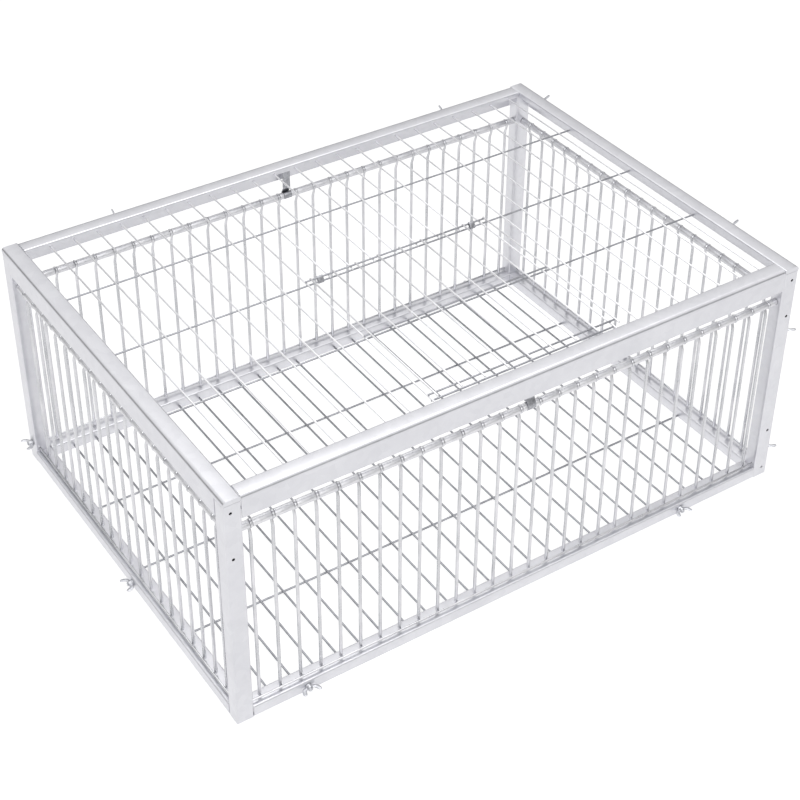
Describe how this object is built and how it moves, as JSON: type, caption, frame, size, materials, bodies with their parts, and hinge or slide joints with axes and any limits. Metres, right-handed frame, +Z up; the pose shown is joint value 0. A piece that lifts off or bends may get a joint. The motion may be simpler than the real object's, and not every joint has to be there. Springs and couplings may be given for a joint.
{
  "type": "pigeon trap",
  "caption": "Low rectangular wire cage trap for pigeons with hanging bob bars on every side that swing inwards only, a wire lid with a hinged door, and a wire floor.",
  "frame": {"origin": "middle of the base, on the surface the trap stands on", "axes": "+X along the long side to the right, +Y to the back, +Z up; the side with the door's front edge faces -Y"},
  "size_m": [0.8774, 0.6274, 0.35],
  "materials": {
    "zinc_sheet": "light galvanised sheet, satin",
    "bright_wire": "bright drawn wire, smooth satin",
    "mesh_wire": "dark galvanised wire, dull",
    "steel_fittings": "zinc plated, satin"
  },
  "bodies": {
    "cage": {"lid_front_member": "zinc_sheet", "lid_back_member": "zinc_sheet", "lid_left_member": "zinc_sheet", "lid_right_member": "zinc_sheet", "front_left_post": "zinc_sheet", "front_right_post": "zinc_sheet", "back_left_post": "zinc_sheet", "back_right_post": "zinc_sheet", "front_floor_rail": "zinc_sheet", "back_floor_rail": "zinc_sheet", "left_floor_rail": "zinc_sheet", "right_floor_rail": "zinc_sheet", "lid_mesh": "mesh_wire", "floor_mesh": "mesh_wire", "front_pivot_rod": "bright_wire", "front_stop_wire": "bright_wire", "back_pivot_rod": "bright_wire", "back_stop_wire": "bright_wire", "left_pivot_rod": "bright_wire", "left_stop_wire": "bright_wire", "right_pivot_rod": "bright_wire", "right_stop_wire": "bright_wire", "front_rod_strap": "steel_fittings", "back_rod_strap": "steel_fittings", "hinge_clip_left": "steel_fittings", "hinge_clip_right": "steel_fittings", "front_wing_bolt_1": "steel_fittings", "front_wing_bolt_2": "steel_fittings", "back_top_wing_bolt_1": "steel_fittings", "back_top_wing_bolt_2": "steel_fittings", "back_low_wing_bolt_1": "steel_fittings", "back_low_wing_bolt_2": "steel_fittings", "right_top_wing_bolt_1": "steel_fittings", "right_top_wing_bolt_2": "steel_fittings", "right_post_wing_bolt_low": "steel_fittings", "right_post_wing_bolt_high": "steel_fittings", "left_wing_bolt": "steel_fittings", "left_post_wing_bolt": "steel_fittings"},
    "front_bob_gang_1": {"front_bob_gang_1": "bright_wire"},
    "front_bob_gang_2": {"front_bob_gang_2": "bright_wire"},
    "front_bob_gang_3": {"front_bob_gang_3": "bright_wire"},
    "front_bob_gang_4": {"front_bob_gang_4": "bright_wire"},
    "front_bob_gang_5": {"front_bob_gang_5": "bright_wire"},
    "front_bob_gang_6": {"front_bob_gang_6": "bright_wire"},
    "back_bob_gang_1": {"back_bob_gang_1": "bright_wire"},
    "back_bob_gang_2": {"back_bob_gang_2": "bright_wire"},
    "back_bob_gang_3": {"back_bob_gang_3": "bright_wire"},
    "back_bob_gang_4": {"back_bob_gang_4": "bright_wire"},
    "back_bob_gang_5": {"back_bob_gang_5": "bright_wire"},
    "back_bob_gang_6": {"back_bob_gang_6": "bright_wire"},
    "left_bob_gang_1": {"left_bob_gang_1": "bright_wire"},
    "left_bob_gang_2": {"left_bob_gang_2": "bright_wire"},
    "left_bob_gang_3": {"left_bob_gang_3": "bright_wire"},
    "left_bob_gang_4": {"left_bob_gang_4": "bright_wire"},
    "right_bob_gang_1": {"right_bob_gang_1": "bright_wire"},
    "right_bob_gang_2": {"right_bob_gang_2": "bright_wire"},
    "right_bob_gang_3": {"right_bob_gang_3": "bright_wire"},
    "right_bob_gang_4": {"right_bob_gang_4": "bright_wire"},
    "top_door": {"top_door": "mesh_wire"}
  },
  "joints": [
    {"name": "front_bobs_1_swing", "type": "hinge", "parent": "cage", "child": "front_bob_gang_1", "pos_m": [-0.33021, -0.2895, 0.296], "axis": [1, 0, 0], "range_deg": [0, 95]},
    {"name": "front_bobs_2_swing", "type": "hinge", "parent": "cage", "child": "front_bob_gang_2", "pos_m": [-0.201, -0.2895, 0.296], "axis": [1, 0, 0], "range_deg": [0, 95]},
    {"name": "front_bobs_3_swing", "type": "hinge", "parent": "cage", "child": "front_bob_gang_3", "pos_m": [-0.07179, -0.2895, 0.296], "axis": [1, 0, 0], "range_deg": [0, 95]},
    {"name": "front_bobs_4_swing", "type": "hinge", "parent": "cage", "child": "front_bob_gang_4", "pos_m": [0.07179, -0.2895, 0.296], "axis": [1, 0, 0], "range_deg": [0, 95]},
    {"name": "front_bobs_5_swing", "type": "hinge", "parent": "cage", "child": "front_bob_gang_5", "pos_m": [0.201, -0.2895, 0.296], "axis": [1, 0, 0], "range_deg": [0, 95]},
    {"name": "front_bobs_6_swing", "type": "hinge", "parent": "cage", "child": "front_bob_gang_6", "pos_m": [0.33021, -0.2895, 0.296], "axis": [1, 0, 0], "range_deg": [0, 95]},
    {"name": "back_bobs_1_swing", "type": "hinge", "parent": "cage", "child": "back_bob_gang_1", "pos_m": [0.33021, 0.2895, 0.296], "axis": [-1, 0, 0], "range_deg": [0, 95]},
    {"name": "back_bobs_2_swing", "type": "hinge", "parent": "cage", "child": "back_bob_gang_2", "pos_m": [0.201, 0.2895, 0.296], "axis": [-1, 0, 0], "range_deg": [0, 95]},
    {"name": "back_bobs_3_swing", "type": "hinge", "parent": "cage", "child": "back_bob_gang_3", "pos_m": [0.07179, 0.2895, 0.296], "axis": [-1, 0, 0], "range_deg": [0, 95]},
    {"name": "back_bobs_4_swing", "type": "hinge", "parent": "cage", "child": "back_bob_gang_4", "pos_m": [-0.07179, 0.2895, 0.296], "axis": [-1, 0, 0], "range_deg": [0, 95]},
    {"name": "back_bobs_5_swing", "type": "hinge", "parent": "cage", "child": "back_bob_gang_5", "pos_m": [-0.201, 0.2895, 0.296], "axis": [-1, 0, 0], "range_deg": [0, 95]},
    {"name": "back_bobs_6_swing", "type": "hinge", "parent": "cage", "child": "back_bob_gang_6", "pos_m": [-0.33021, 0.2895, 0.296], "axis": [-1, 0, 0], "range_deg": [0, 95]},
    {"name": "left_bobs_1_swing", "type": "hinge", "parent": "cage", "child": "left_bob_gang_1", "pos_m": [-0.4145, 0.20099, 0.296], "axis": [0, 1, 0], "range_deg": [-95, 0]},
    {"name": "left_bobs_2_swing", "type": "hinge", "parent": "cage", "child": "left_bob_gang_2", "pos_m": [-0.4145, 0.05743, 0.296], "axis": [0, 1, 0], "range_deg": [-95, 0]},
    {"name": "left_bobs_3_swing", "type": "hinge", "parent": "cage", "child": "left_bob_gang_3", "pos_m": [-0.4145, -0.07178, 0.296], "axis": [0, 1, 0], "range_deg": [-95, 0]},
    {"name": "left_bobs_4_swing", "type": "hinge", "parent": "cage", "child": "left_bob_gang_4", "pos_m": [-0.4145, -0.20099, 0.296], "axis": [0, 1, 0], "range_deg": [-95, 0]},
    {"name": "right_bobs_1_swing", "type": "hinge", "parent": "cage", "child": "right_bob_gang_1", "pos_m": [0.4145, -0.20099, 0.296], "axis": [0, -1, 0], "range_deg": [-95, 0]},
    {"name": "right_bobs_2_swing", "type": "hinge", "parent": "cage", "child": "right_bob_gang_2", "pos_m": [0.4145, -0.05743, 0.296], "axis": [0, -1, 0], "range_deg": [-95, 0]},
    {"name": "right_bobs_3_swing", "type": "hinge", "parent": "cage", "child": "right_bob_gang_3", "pos_m": [0.4145, 0.07178, 0.296], "axis": [0, -1, 0], "range_deg": [-95, 0]},
    {"name": "right_bobs_4_swing", "type": "hinge", "parent": "cage", "child": "right_bob_gang_4", "pos_m": [0.4145, 0.20099, 0.296], "axis": [0, -1, 0], "range_deg": [-95, 0]},
    {"name": "top_door_hinge", "type": "hinge", "parent": "cage", "child": "top_door", "pos_m": [0.0145, 0.0195, 0.34665], "axis": [-1, 0, 0], "range_deg": [0, 120]}
  ]
}
